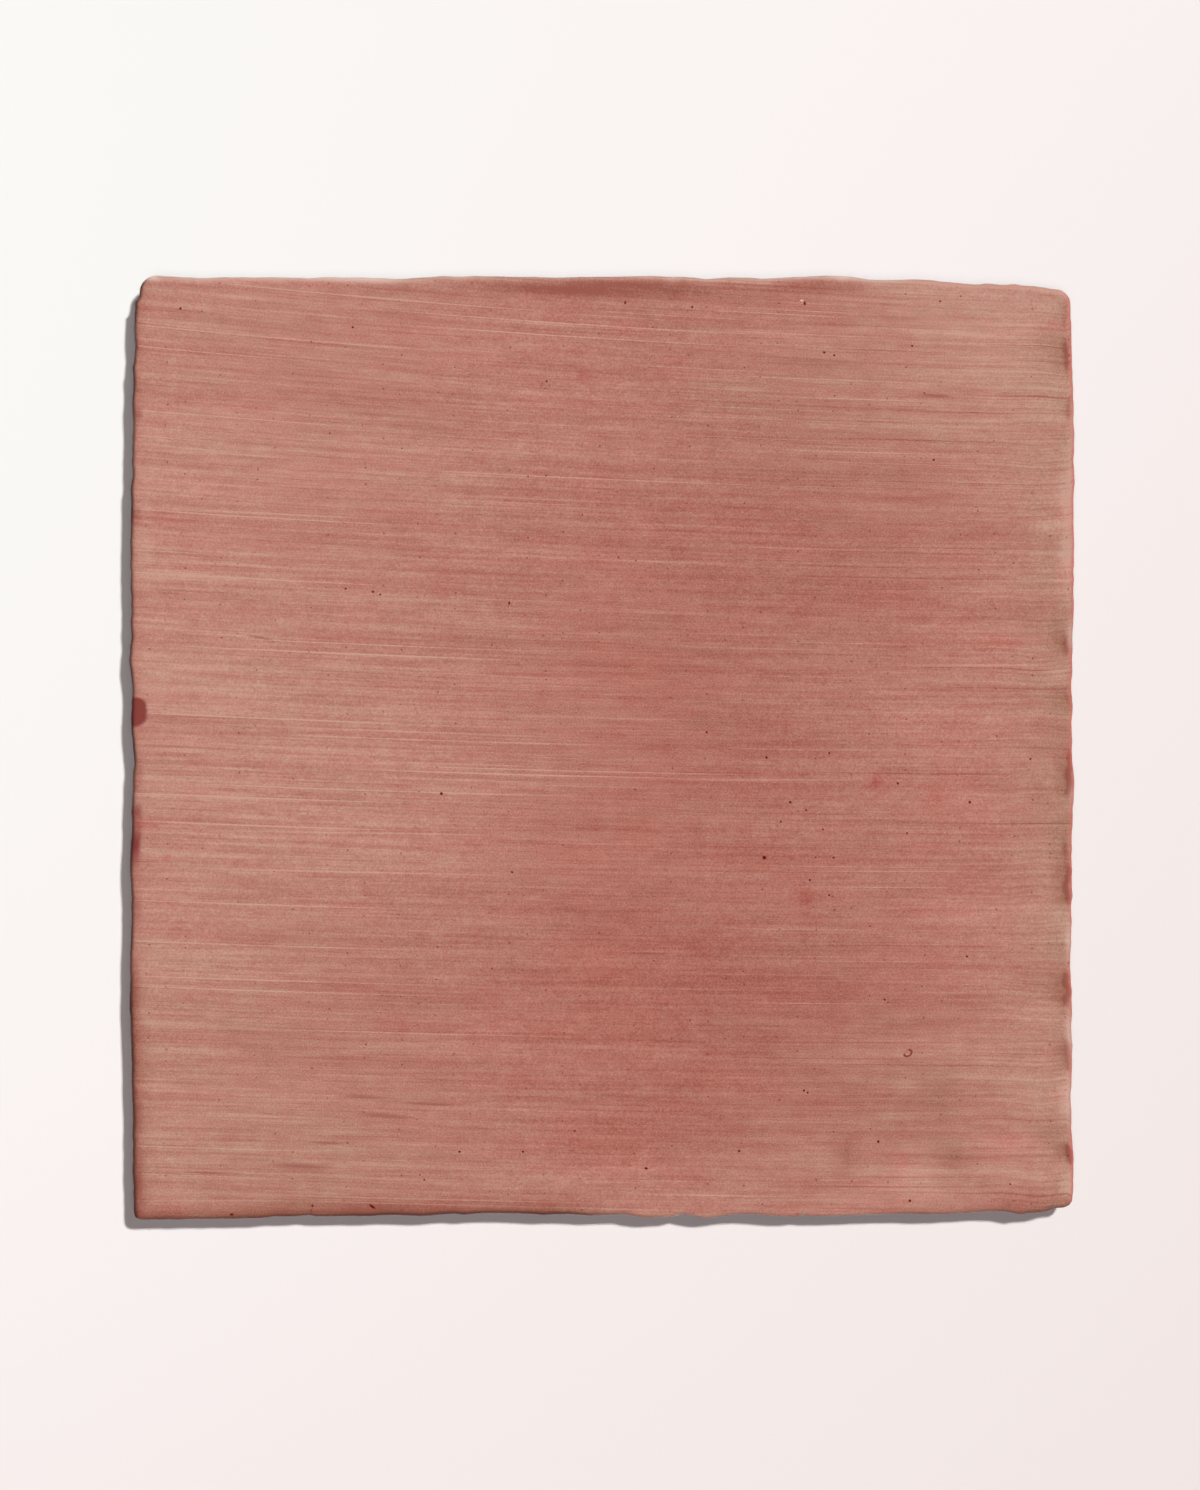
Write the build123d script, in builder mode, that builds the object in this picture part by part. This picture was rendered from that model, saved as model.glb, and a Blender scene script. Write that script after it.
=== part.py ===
# A hand-made wall tile: one slab of clay, rolled and cut by hand, with a brushed glaze on its face.
# It lies on its back with the glazed face up. X runs along the brush strokes and Y across them.
# All sizes are in millimetres. The origin is in the middle of the back.

import os
from math import cos, pi

from build123d import *

# Slab
tile_width = 130.4  # along X, between the mean lines of the left and right edges
tile_depth = 130.0  # along Y, between the mean lines of the near and far edges
thickness = 10.0  # back to the mean level of the glazed face
undercut = 0.6  # how far the knife leaned in: the back stands in by this much on each side

# Softened edges
face_arris_radius = 0.8  # the rim of the face, rounded by wet clay and glaze
back_arris_chamfer = 0.4  # the rim of the back, rubbed down before firing
far_left_corner_radius = 2.2
far_right_corner_radius = 2.0
near_right_corner_radius = 1.8
near_left_corner_radius = 1.0

# The face is not quite flat: the roller left a low swell each way
swell_height = 0.12  # from the mean level to a crest
swell_length_x = 78.0  # crest to crest along X
swell_length_y = 104.0  # crest to crest along Y
swell_points = 13  # along each side of the surface that trims the face

# The four hand-cut edges. Each pair is a place along the edge, as a share of the half side
# from its middle, and how far the edge stands out from its mean line there, in wave depths.
wave_depth = 0.4  # a bold wave
far_edge_waves = [
    (-1.0, 1), (-0.94, 1), (-0.86, 0.25), (-0.74, 0.6), (-0.62, 0.3), (-0.57, 0.5), (-0.43, 0), (-0.35, 0.75),
    (-0.18, 0.65), (-0.1, 0.35), (-0.01, 0.85), (0.08, 0.8), (0.16, 0.7), (0.24, -0.1), (0.3, 0.5), (0.34, 0.1),
    (0.44, 0.9), (0.53, 0.7), (0.58, -0.4), (0.64, -0.2), (0.77, -1.7), (0.87, -2.2), (1.0, -4.2),
]
right_edge_waves = [
    (-1.0, 0.4), (-0.86, 0.45), (-0.8, 0), (-0.68, -0.1), (-0.54, 0.3), (-0.46, -0.55), (-0.36, 0.25),
    (-0.16, 0.1), (-0.07, 0.8), (-0.01, 0.1), (0.08, 0.15), (0.18, 0.05), (0.26, 0.6), (0.46, 0.8), (0.66, 0.9),
    (0.78, 0.6), (0.9, -0.3), (1.0, -0.5),
]
near_edge_waves = [
    (-1.0, 1.7), (-0.94, 1.8), (-0.74, 1.1), (-0.63, 0.55), (-0.57, 0.7), (-0.46, 0.3), (-0.38, 0.3),
    (-0.22, -0.65), (-0.14, -0.1), (-0.06, -0.2), (0.04, 0.15), (0.11, 1), (0.17, 0), (0.22, 1.1), (0.29, -0.2),
    (0.38, 0.7), (0.5, 0.4), (0.62, -0.4), (0.69, -0.1), (0.8, -0.95), (0.86, -1.2), (0.91, -0.75), (1.0, -3),
]
left_edge_waves = [
    (-1.0, -0.5), (-0.86, 0), (-0.72, 0.1), (-0.62, 0.7), (-0.42, 0.7), (-0.34, 0.2), (-0.25, 0.75),
    (-0.17, 0.25), (-0.09, 0.05), (-0.02, -0.5), (0.06, 0.7), (0.1, 0.1), (0.17, 0.75), (0.27, 0.45), (0.36, 0.5),
    (0.52, 0.5), (0.6, 0.1), (0.74, 0), (0.86, -0.7), (0.93, -1.15), (0.96, -2.3), (1.0, -2.8),
]

half_width = tile_width / 2
half_depth = tile_depth / 2
blank_height = thickness + swell_height + face_arris_radius  # the slab before its face is trimmed
overrun = undercut * (blank_height - thickness) / thickness  # the leaning cut goes on above the face


def cut_edges(inset):
    """Draws the four hand-cut edges as one closed outline that stands in by inset."""
    right = half_width - inset
    far = half_depth - inset

    far_run = [(share * right, far + out * wave_depth) for share, out in far_edge_waves]
    right_run = [(right + out * wave_depth, share * far) for share, out in right_edge_waves]
    near_run = [(share * right, -far - out * wave_depth) for share, out in near_edge_waves]
    left_run = [(-right - out * wave_depth, share * far) for share, out in left_edge_waves]

    # A corner takes its X from the side edge and its Y from the far or near edge
    far_left = (left_run[-1][0], far_run[0][1])
    far_right = (right_run[-1][0], far_run[-1][1])
    near_right = (right_run[0][0], near_run[-1][1])
    near_left = (left_run[0][0], near_run[0][1])

    Spline(far_left, *far_run[1:-1], far_right)
    Spline(near_right, *right_run[1:-1], far_right)
    Spline(near_left, *near_run[1:-1], near_right)
    Spline(near_left, *left_run[1:-1], far_left)


def swelling_surface():
    """Makes the surface of the glazed face, larger than the tile on every side."""
    reach = 1.1
    steps = [2 * i / (swell_points - 1) - 1 for i in range(swell_points)]
    columns = []
    for along in steps:
        x = along * half_width * reach
        column = []
        for across in steps:
            y = across * half_depth * reach
            swell = cos(2 * pi * x / swell_length_x) + cos(2 * pi * y / swell_length_y)
            column.append((x, y, thickness + swell_height * swell / 2))
        columns.append(column)
    return Face.make_surface_from_array_of_points(columns)


with BuildPart() as tile:
    # The slab, cut with a leaning knife
    with BuildSketch(Plane.XY):
        with BuildLine():
            cut_edges(undercut)
        make_face()
    with BuildSketch(Plane.XY.offset(blank_height)):
        with BuildLine():
            cut_edges(-overrun)
        make_face()
    loft(ruled=True)

    # The four corners, each worn to its own radius
    upright_edges = tile.edges().filter_by(lambda edge: edge.bounding_box().size.Z > thickness)
    near_left, near_right = upright_edges.sort_by(Axis.Y)[:2].sort_by(Axis.X)
    far_left, far_right = upright_edges.sort_by(Axis.Y)[2:].sort_by(Axis.X)
    fillet(near_left, radius=near_left_corner_radius)
    fillet(near_right, radius=near_right_corner_radius)
    fillet(far_left, radius=far_left_corner_radius)
    fillet(far_right, radius=far_right_corner_radius)

    # The swelling face and the two softened rims
    split(bisect_by=swelling_surface(), keep=Keep.BOTTOM)
    face_rim = tile.faces().sort_by(Axis.Z)[-1].edges()
    fillet(face_rim, radius=face_arris_radius)
    back_rim = tile.faces().sort_by(Axis.Z)[0].edges()
    chamfer(back_rim, length=back_arris_chamfer)

tile.part.label = "tile"

os.makedirs("parts", exist_ok=True)
export_step(tile.part, "parts/tile.step")
print(f"tile: {tile.part.volume / 1000:.1f} cubic cm, {tile.part.bounding_box().size}")
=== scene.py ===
# A hand-made wall tile with a brushed pink glaze, lying face up on a pale floor
import math

import bpy
import numpy as np
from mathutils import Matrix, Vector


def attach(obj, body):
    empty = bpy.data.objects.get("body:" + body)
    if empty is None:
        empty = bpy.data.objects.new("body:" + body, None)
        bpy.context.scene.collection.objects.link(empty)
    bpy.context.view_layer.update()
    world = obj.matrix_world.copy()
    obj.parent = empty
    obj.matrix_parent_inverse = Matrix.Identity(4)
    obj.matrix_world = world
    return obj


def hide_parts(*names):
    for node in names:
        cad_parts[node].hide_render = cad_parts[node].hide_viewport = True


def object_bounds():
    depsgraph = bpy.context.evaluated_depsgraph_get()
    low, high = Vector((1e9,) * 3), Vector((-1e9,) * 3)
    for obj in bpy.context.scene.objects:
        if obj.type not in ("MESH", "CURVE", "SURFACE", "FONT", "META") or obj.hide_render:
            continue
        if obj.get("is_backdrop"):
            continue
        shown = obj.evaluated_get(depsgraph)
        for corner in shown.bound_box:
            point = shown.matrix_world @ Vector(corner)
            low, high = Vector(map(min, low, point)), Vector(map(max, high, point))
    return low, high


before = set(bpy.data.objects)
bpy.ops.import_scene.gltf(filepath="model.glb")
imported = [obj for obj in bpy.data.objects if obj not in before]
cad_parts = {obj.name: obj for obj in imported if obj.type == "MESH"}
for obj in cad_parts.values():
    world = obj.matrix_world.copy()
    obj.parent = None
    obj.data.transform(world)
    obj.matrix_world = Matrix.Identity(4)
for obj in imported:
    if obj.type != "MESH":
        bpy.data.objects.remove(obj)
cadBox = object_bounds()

mm = 0.001
halfSide = 65.0  # mm, from the middle of the tile to the mean line of an edge
latticeSize = 512  # random numbers each way, before they repeat
# Name of each side, the axis it looks along and which way
fourSides = (("right", 0, 1), ("far", 1, 1), ("left", 0, -1), ("near", 1, -1))


# Helpers

def fromSrgb(red, green, blue):
    # 0 to 255 as seen on screen, to the linear colour that a shader takes
    share = np.array([red, green, blue]) / 255
    linear = np.where(share <= 0.04045, share / 12.92, ((share + 0.055) / 1.055) ** 2.4)
    return (*linear.tolist(), 1.0)


def wander(x, y, stepX, stepY, seed):
    # Random heights from -1 to 1 on a lattice of stepX by stepY mm, joined by smooth steps
    lattice = np.random.default_rng(seed).uniform(-1, 1, (latticeSize, latticeSize))
    cellX, cellY = np.floor(x / stepX).astype(int), np.floor(y / stepY).astype(int)
    partX, partY = x / stepX - cellX, y / stepY - cellY
    partX, partY = (part * part * (3 - 2 * part) for part in (partX, partY))
    corner = lambda i, j: lattice[(cellY + j) % latticeSize, (cellX + i) % latticeSize]
    near = corner(0, 0) * (1 - partX) + corner(1, 0) * partX
    far = corner(0, 1) * (1 - partX) + corner(1, 1) * partX
    return near * (1 - partY) + far * partY


def waverX(x, length, seed):
    # The same along one line, in steps of length
    return wander(x, 0 * x, length, 1, seed)


def waverY(y, length, seed):
    return wander(0 * y, y, 1, length, seed)


def waves(path, entries, seed):
    # The sum of wavers along a path, each with its length and strength
    return sum(strength * waverX(path, length, seed + number)
               for number, (length, strength) in enumerate(entries))


def hump(distance, reach):
    # A bell of height 1 that is down to a third at reach
    return np.exp(-(distance / reach) ** 2)


def band(distance, strength, middle, reach):
    # A bell of its own strength, its middle somewhere in from an edge
    return strength * hump(distance - middle, reach)


def fade(value, start, end):
    # 0 before start, 1 after end, smooth between
    share = np.clip((value - start) / (end - start), 0, 1)
    return share * share * (3 - 2 * share)


def spots(place, entries):
    # The sum of bells along an edge, each with its middle, half length and strength
    return sum(strength * hump(place - middle, half) for middle, half, strength in entries)


# The tile's shape. Lengths are in mm

tileShape = {
    "columns": 140,  # along the brush strokes
    "rows": 520,  # across them
    "columnCrowding": 0.75,  # 0 spaces them evenly, near 1 draws them together at the edges
    "rowCrowding": 0.2,
    "thickness": 10.0,
    "swell": 0.12,  # the low swell that the roller left, and its lengths each way
    "swellX": 78.0,
    "swellY": 104.0,
    "rimRadius": 0.8,
    "leftRim": 0.6,  # the left and near rims are tighter: shares of that radius
    "nearRim": 0.7,
    "rimWaves": [(9.0, 0.2)],  # how uneven the rim is: length along the edge, share of the radius
    "rimSteps": 9,
    "edgeNibble": 0.08,  # small unevenness of the cut, on top of its waves
    "nibbleWaves": [(2.6, 1.0), (1.1, 0.6)],  # length along the edge, share of that depth
    "farLipAt": (11.0, 19.0),  # the far lip stands up most here: middle and half length
    "farLip": 0.1,  # how much higher it is there
    "farHollow": (0.06, 2.2, 1.2),  # the hollow behind it: depth, how far in, reach
    "dentBand": (1.0, 0.75, 0.75),  # the same for the dents, as a share of their depth
    "ridgeHeight": 0.012,  # bristle ridges in the glaze
    "ridges": [(34, 0.9, 1.0), (20, 0.55, 0.7)],  # their length, width and share of that height
    "glazeLine": 4.0,  # height at which the glaze stops on the sides
    "glazeWaves": [(8.0, 0.9), (2.5, 0.4)],  # how it wanders: length along the edge, height
    "glazeThickness": 0.12,
    "glazeEdge": [(0.35, 0.0), (0.08, 0.25), (0.0, 1.0)],  # height over that line, share of the film gone
    "backChamfer": 0.4,
}

# Lips at the edges: height, unevenness, its length along the edge, reach in from the edge
edgeLips = {
    "far": (0.04, 0.05, 7.0, 1.1),
    "right": (0.05, 0.06, 4.0, 0.6),
    "near": (0.0, 0.05, 9.0, 1.2),
    "left": (0.0, 0.05, 7.0, 1.2),
}

# Brush strokes sink by so many mm for each mm along them, less and less, and more at the far side
strokeShape = {
    "slope": 0.036,
    "farSlope": 0.08,
    "ease": 0.036,
    "farEase": 0.04,
    "unsteady": 0.45,  # mm at the right end, where the brush was lifted
    "unsteadyFrom": (50, 63),
    "unsteadySize": (6, 5),
}

# Dents left by fingers just inside the right rim: place along the edge, half length, depth
rightDents = [
    (60.2, 1.5, 0.1), (54.4, 2.6, 0.2), (46.6, 1.6, 0.14), (14.2, 1.4, 0.16), (6.6, 1.2, 0.1),
    (-3.8, 2.7, 0.26), (-14.0, 1.3, 0.14), (-19.0, 3.2, 0.24), (-33.4, 1.9, 0.28), (-42.8, 2.2, 0.2),
    (-56.4, 1.6, 0.34),
]

# Notches in the cut, and humps where the depth is below 0: the same numbers
edgeNotches = {
    "right": [
        (-22.8, 1.3, 0.22), (-38.8, 1.6, 0.24), (-53.0, 1.0, 0.14), (1.0, 1.0, -0.14), (44.8, 1.0, 0.12),
    ],
    "far": [
        (-9.6, 1.3, -0.15), (12.3, 0.8, -0.14), (26.0, 0.7, -0.18), (53.2, 0.6, -0.22), (57.0, 0.8, -0.18),
    ],
    "left": [(61.3, 0.6, -0.2), (52.4, 0.6, -0.16), (36.3, 1.0, -0.14), (15.3, 1.5, 0.2)],
    "near": [
        (-57.2, 1.2, 0.16), (-41.0, 1.0, 0.24), (-22.2, 0.7, 0.12), (-18.7, 1.2, -0.22), (-5.6, 1.0, 0.17),
        (-1.2, 1.8, -0.2), (3.2, 1.0, 0.2), (9.5, 0.8, -0.14), (12.0, 0.8, 0.12), (28.0, 2.0, 0.3),
        (57.8, 1.2, -0.34), (62.9, 1.8, 0.36),
    ],
}


def crossing(level):
    # Points where the walls of the CAD tile cross a level, in order of their bearing from the middle
    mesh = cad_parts["tile"].data
    mesh.calc_loop_triangles()
    corners = np.empty(len(mesh.loop_triangles) * 3, np.int32)
    mesh.loop_triangles.foreach_get("vertices", corners)
    points = np.empty(len(mesh.vertices) * 3, np.float32)
    mesh.vertices.foreach_get("co", points)
    start = points.reshape(-1, 3)[corners.reshape(-1, 3)] / mm
    end = np.roll(start, -1, axis=1)
    cut = (start[..., 2] < level) != (end[..., 2] < level)
    start, end = start[cut], end[cut]
    share = (level - start[:, 2:]) / (end[:, 2:] - start[:, 2:])
    found = (start + share * (end - start))[:, :2]
    bearing = np.arctan2(found[:, 1], found[:, 0])
    order = np.argsort(bearing)
    return bearing[order], found[order]


def wallAt(bearings, level):
    # The point of the CAD wall at each bearing, on the level
    known, found = crossing(level)
    return np.stack([np.interp(bearings, known, found[:, axis], period=2 * math.pi) for axis in (0, 1)], 1)


def crowded(count, crowding):
    # Even steps from -1 to 1, drawn together towards both ends by a sine
    even = np.linspace(-1, 1, count + 1)
    return even + crowding * np.sin(math.pi * even) / math.pi


def aroundGrid(grid):
    # The border of a grid of rows and columns, once round, anticlockwise from the near left corner
    return np.concatenate([grid[0, :-1], grid[:-1, -1], grid[-1, :0:-1], grid[:0:-1, 0]])


def coonsPatch(border, rows, columns, across, along):
    # Fills a border: the blend of its two sides plus the blend of its ends, less the blend of its corners
    near, right = border[:columns + 1], border[columns:columns + rows + 1]
    far = border[columns + rows:2 * columns + rows + 1][::-1]
    left = np.concatenate([border[2 * columns + rows:], border[:1]])[::-1]
    a = ((along + 1) / 2)[None, :, None]
    b = ((across + 1) / 2)[:, None, None]
    sides = (1 - a) * left[:, None] + a * right[:, None]
    ends = (1 - b) * near[None] + b * far[None]
    cornersBlend = (1 - b) * ((1 - a) * near[0] + a * near[-1]) + b * ((1 - a) * far[0] + a * far[-1])
    return sides + ends - cornersBlend


def strokeBend(x, y):
    # How far a brush stroke has sunk by x: the slope times the run, less the ease times its square
    s = strokeShape
    run, rise = x + halfSide, ((y + halfSide) / (2 * halfSide)) ** 3
    slope, ease = s["slope"] + s["farSlope"] * rise, s["ease"] + s["farEase"] * rise
    unsteady = s["unsteady"] * wander(x, y, *s["unsteadySize"], 17) * fade(x, *s["unsteadyFrom"])
    return slope * run - ease * run ** 2 / (4 * halfSide) + unsteady


def faceHeight(x, y, inward):
    # Thickness, plus the roller's swell, plus lips and dents by the distance in from each edge, plus ridges
    s = tileShape
    height = s["thickness"] + s["swell"] / 2 * (
        np.cos(2 * math.pi * x / s["swellX"]) + np.cos(2 * math.pi * y / s["swellY"]))
    for seed, name in enumerate(("far", "right", "near", "left"), 11):
        lip, uneven, length, reach = edgeLips[name]
        waver = waverX(x, length, seed) if name in ("far", "near") else waverY(y, length, seed)
        height += (lip + uneven * waver) * hump(inward[name], reach)
    middle, half = s["farLipAt"]
    bold = hump(x - middle, half)
    height += bold * s["farLip"] * hump(inward["far"], edgeLips["far"][3])
    height -= bold * band(inward["far"], *s["farHollow"])
    height -= spots(y, rightDents) * band(inward["right"], *s["dentBand"])
    across = y + strokeBend(x, y)
    ridges = sum(share * wander(x, across, length, width, seed)
                 for seed, (length, width, share) in enumerate(s["ridges"], 15))
    return height + s["ridgeHeight"] * ridges


def tileSurface():
    # A grid for the face, then the rim, wall and back as rings carried round the outline
    s = tileShape
    rows, columns = s["rows"], s["columns"]
    along, across = crowded(columns, s["columnCrowding"]), crowded(rows, s["rowCrowding"])
    gridX, gridY = np.meshgrid(along, across)
    square = aroundGrid(np.stack([gridX, gridY], 2))
    bearings = np.arctan2(square[:, 1], square[:, 0])
    lowLevel, highLevel = 1.0, 8.5
    low, high = wallAt(bearings, lowLevel), wallAt(bearings, highLevel)
    count = len(bearings)

    # The way out of the tile, square to the outline
    ahead = np.roll(high, -1, axis=0) - np.roll(high, 1, axis=0)
    outward = np.stack([ahead[:, 1], -ahead[:, 0]], 1)
    outward /= np.linalg.norm(outward, axis=1, keepdims=True)
    path = np.cumsum(np.linalg.norm(np.roll(high, -1, axis=0) - high, axis=1))

    # Small bites along the cut, and its notches
    bites = s["edgeNibble"] * waves(path, s["nibbleWaves"], 21)
    facing = {name: fade(way * outward[:, axis], 0.5, 0.9) for name, axis, way in fourSides}
    for name, axis, way in fourSides:
        bites += spots(high[:, 1 - axis], edgeNotches[name]) * facing[name]

    def ring(level, inset):
        # The wall at a level, drawn in towards the middle by inset
        share = ((level - lowLevel) / (highLevel - lowLevel))[:, None]
        place = low + share * (high - low)
        return place * (1 - (inset + bites)[:, None] / halfSide)

    # Face
    radius = s["rimRadius"] * (1 + waves(path, s["rimWaves"], 23))
    radius *= 1 - (1 - s["leftRim"]) * facing["left"] - (1 - s["nearRim"]) * facing["near"]
    flat = np.full(count, s["thickness"])
    border = ring(flat, radius)
    face = coonsPatch(border, rows, columns, across, along)
    x, y = face[..., 0], face[..., 1]
    inward = {"far": y[-1:] - y, "near": y - y[:1], "right": x[:, -1:] - x, "left": x - x[:, :1]}
    z = faceHeight(x, y, inward)
    edge = aroundGrid(z)

    # Rim: a quarter round carried along the outline. Then the glazed wall, the bare wall and the back
    places, levels, unrolled = [], [], []
    for turn in np.linspace(0, math.pi / 2, s["rimSteps"] + 1)[1:]:
        level = edge - radius * (1 - math.cos(turn))
        places.append(ring(level, radius * (1 - math.sin(turn))))
        levels.append(level)
        unrolled.append(radius * turn)
    glazeLine = s["glazeLine"] + waves(path, s["glazeWaves"], 24)
    wallTop, glaze = levels[-1], s["glazeThickness"]
    bareMiddle, chamfer = glazeLine / 2 + s["backChamfer"] / 2, flat * 0 + s["backChamfer"]
    glazed = [((wallTop + glazeLine) / 2, 0)]
    glazed += [(glazeLine + above, gone * glaze) for above, gone in s["glazeEdge"]]
    bare = [(bareMiddle, glaze), (chamfer, glaze), (chamfer * 0, glaze + s["backChamfer"])]
    for level, inset in glazed + bare:
        places.append(ring(level, inset + flat * 0))
        levels.append(level)
        unrolled.append(radius * math.pi / 2 + wallTop - level)

    ringXY, ringZ = np.concatenate(places), np.concatenate(levels)
    points = np.concatenate([
        np.stack([x.ravel(), y.ravel(), z.ravel()], 1),
        np.column_stack([ringXY, ringZ]),
    ])

    # Where each point would lie if the sides were folded up level with the face
    reach = np.concatenate(unrolled)
    sideways = np.tile(outward, (len(places), 1))
    edgeXY = np.tile(border, (len(places), 1))
    flatXY = np.concatenate([face.reshape(-1, 2), edgeXY + sideways * reach[:, None]])
    onFace = np.zeros(face[..., 0].size)

    # How far in from each side of the outline a point is, and how far below the rim
    outline = ring(flat - radius, 0 * flat)
    inside = {}
    for name, axis, way in fourSides:
        side = outline[way * outward[:, axis] > 0.7]
        side = side[np.argsort(side[:, 1 - axis])]
        line = np.interp(points[:, 1 - axis], side[:, 1 - axis], side[:, axis])
        inside[name] = np.maximum(way * (line - points[:, axis]), 0)
    below = np.concatenate([onFace, np.maximum(reach - np.tile(radius, len(places)) * math.pi / 2, 0)])

    # Faces
    number = np.arange((rows + 1) * (columns + 1)).reshape(rows + 1, columns + 1)
    quads = np.stack([number[:-1, :-1], number[:-1, 1:], number[1:, 1:], number[1:, :-1]], 2).reshape(-1, 4)
    ringNumbers = number.size + np.arange(len(places) * count).reshape(-1, count)
    rings = np.concatenate([[aroundGrid(number)], ringNumbers])
    upper, lower = rings[:-1], rings[1:]
    nextUpper, nextLower = np.roll(upper, -1, axis=1), np.roll(lower, -1, axis=1)
    sides = np.stack([upper, lower, nextLower, nextUpper], 2).reshape(-1, 4)
    back = rings[-1][::-1]
    return {
        "points": points, "faces": quads.tolist() + sides.tolist() + [back.tolist()],
        "bareFrom": len(quads) + (s["rimSteps"] + len(glazed)) * count,
        "flatXY": flatXY, "inside": inside, "below": below,
    }


# Where the brush left more or less colour. Lengths are in mm

glazeTone = {
    "level": 0.4,  # 0 is the palest the glaze gets, 1 the reddest
    "lean": 0.04,  # to red all over
    "rimFade": 2.5,  # how far down the sides the paint of the rim is gone
    # Soft patches: middle, reach along and across the strokes, how much more colour
    "patches": [
        (13, -12, 42, 62, 0.25), (-62, 10, 16, 60, -0.1), (-30, 0, 24, 18, -0.11), (60, 60, 20, 18, -0.2),
        (63, -32, 9, 26, -0.08), (48, -62, 20, 7, -0.07), (-42, -44, 22, 18, 0.08), (6, 62, 20, 10, 0.09),
        (30, 22, 26, 12, 0.04), (28, -48, 18, 12, 0.04), (10, -63, 30, 5, -0.1), (15, 35, 22, 22, 0.07),
        (38, 22, 16, 10, 0.07), (14, -33, 44, 12, 0.12), (6, -52, 14, 10, 0.13), (61, 38, 8, 10, -0.06),
        (55, -60, 8, 5, 0.06), (-45, -49, 14, 5, -0.06), (58, -47, 10, 6, -0.09), (-35, -17, 14, 6, -0.06),
        (14, 5, 14, 14, 0.07),
    ],
    # Patches that lean to red, or to olive where the number is below 0
    "redder": [
        (5, -35, 14, 30, 0.14), (50, -5, 9, 22, 0.2), (64, 0, 6, 90, -0.5), (-50, -45, 22, 22, -0.2),
        (5, -62, 22, 5, 0.08), (-20, 58, 30, 8, 0.1), (42, -50, 18, 9, -0.3), (-40, -60, 22, 6, -0.35),
        (-12, -42, 12, 10, 0.12), (40, 50, 30, 20, -0.08), (1, -8, 10, 60, 0.2), (49, -12, 6, 25, 0.2),
        (-50, 35, 18, 10, 0.12), (26, 44, 15, 7, -0.3), (-8, 48, 5, 14, 0.15), (-42, 5, 24, 50, 0.06),
    ],
    # Red blotches: middle, reach each way, more colour, more red
    "blotches": [
        (28.0, -21.0, 1.0, 1.4, 0.3, 0.9), (38.1, -4.7, 0.9, 1.2, 0.28, 0.7),
        (46.0, -7.2, 1.9, 1.1, 0.22, 0.7), (-2.6, 51.3, 1.2, 0.9, 0.18, 0.6),
        (3.3, 58.0, 1.6, 1.0, 0.14, 0.5), (-60.3, -15.4, 0.55, 0.55, 0.25, 1.0),
        (56.0, 14.5, 3.0, 0.8, 0.12, 0.6), (-63.5, -10.6, 2.6, 0.8, 0.14, 0.6),
        (41.3, -57.7, 1.2, 1.6, 0.04, 0.7), (56.9, -54.7, 5.0, 1.8, 0.0, 0.7),
        (58.2, -62.8, 3.0, 1.2, 0.1, 0.2), (63.1, 58.6, 1.6, 0.9, 0.06, 0.7),
        (64.8, 24.4, 1.6, 1.8, 0.06, 0.8), (64.8, -1.0, 1.6, 1.6, 0.05, 0.7),
        (64.5, 51.0, 2.0, 3.0, 0.0, 0.5),
    ],
    # Smudges, where the glaze is grey and thick or pale: the same numbers
    "smudges": [
        (34.0, -56.4, 1.4, 2.2, 0.28, -0.5), (48.4, -57.2, 2.6, 2.4, 0.22, -0.8),
        (47.2, -47.2, 2.6, 3.2, 0.14, -0.6), (41.4, -55.0, 2.0, 0.9, 0.12, -0.2),
        (44.1, -60.2, 4.0, 2.4, -0.16, 0.1), (62.1, -54.7, 2.2, 2.2, 0.12, -0.6),
        (61.5, 56.6, 2.2, 1.8, 0.14, -0.4), (63.7, 54.4, 1.4, 2.4, 0.1, -0.6),
        (64.2, 42.6, 1.2, 1.2, 0.08, -0.6), (62.0, 30.3, 2.0, 1.2, -0.2, -0.1),
        (64.3, 26.8, 1.0, 1.8, -0.2, 0.0), (63.4, 16.2, 1.6, 2.0, 0.16, -0.6),
        (62.8, 10.0, 1.8, 1.0, -0.18, 0.0), (63.8, 5.2, 1.5, 1.5, 0.06, -0.7),
        (63.6, -12.2, 1.4, 2.4, 0.1, -0.7), (63.4, -27.6, 1.2, 1.4, 0.05, -0.6),
        (64.4, -60.8, 0.9, 0.9, -0.2, -0.1),
    ],
}


def patched(x, y, patches):
    # The sum of soft patches, each a bell along and across
    total = np.zeros(x.shape)
    for middleX, middleY, reachX, reachY, more in patches:
        total += more * hump(x - middleX, reachX) * hump(y - middleY, reachY)
    return total


# What the glaze does at each rim, with the shade and highlights painted there. Pools, scuffs, thin places and
# chips are each a place along the edge, half its length and its strength; some pools are places of painted
# shade, and some scuffs, thin places and chips painted highlights.
# A band is its strength, how far in it is strongest, and its reach

leftPaint = {
    "poolsAndShade": [
        (46.2, 0.9, 0.5), (32.3, 1.3, 0.4), (-9.0, 1.0, 0.7), (-13.6, 2.6, 1.0), (-3.6, 2.4, 0.25),
        (-22.0, 1.8, 0.35), (-30.5, 1.2, 0.2), (-34.3, 2.0, 0.35), (-52.0, 1.6, 0.2), (-61.0, 2.5, 0.4),
    ],
    "poolFade": (0.9, 1.75),  # how far in a pool starts to fade, and where it ends
    "lowerPart": (28, 36),  # how far below the middle the left rim starts to grow darker and more olive, and where that is full
    "dark": (0.95, 0.42),  # the dark line, painted shade on dark glaze: strength and reach
    "darkUneven": (0.12, 3),  # strength, and length along the edge
    "darkLower": 0.1,  # how much further in it reaches on the lower part
    "tone": (0.18, 0, 1.5),
    "toneLower": (0.34, 0, 1.5),
    "oliveLower": (0.4, 1, 2),
    "paleAt": (29, 9),  # a paler stretch: middle and half length
    "pale": (0.14, 1, 2),
}


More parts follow.
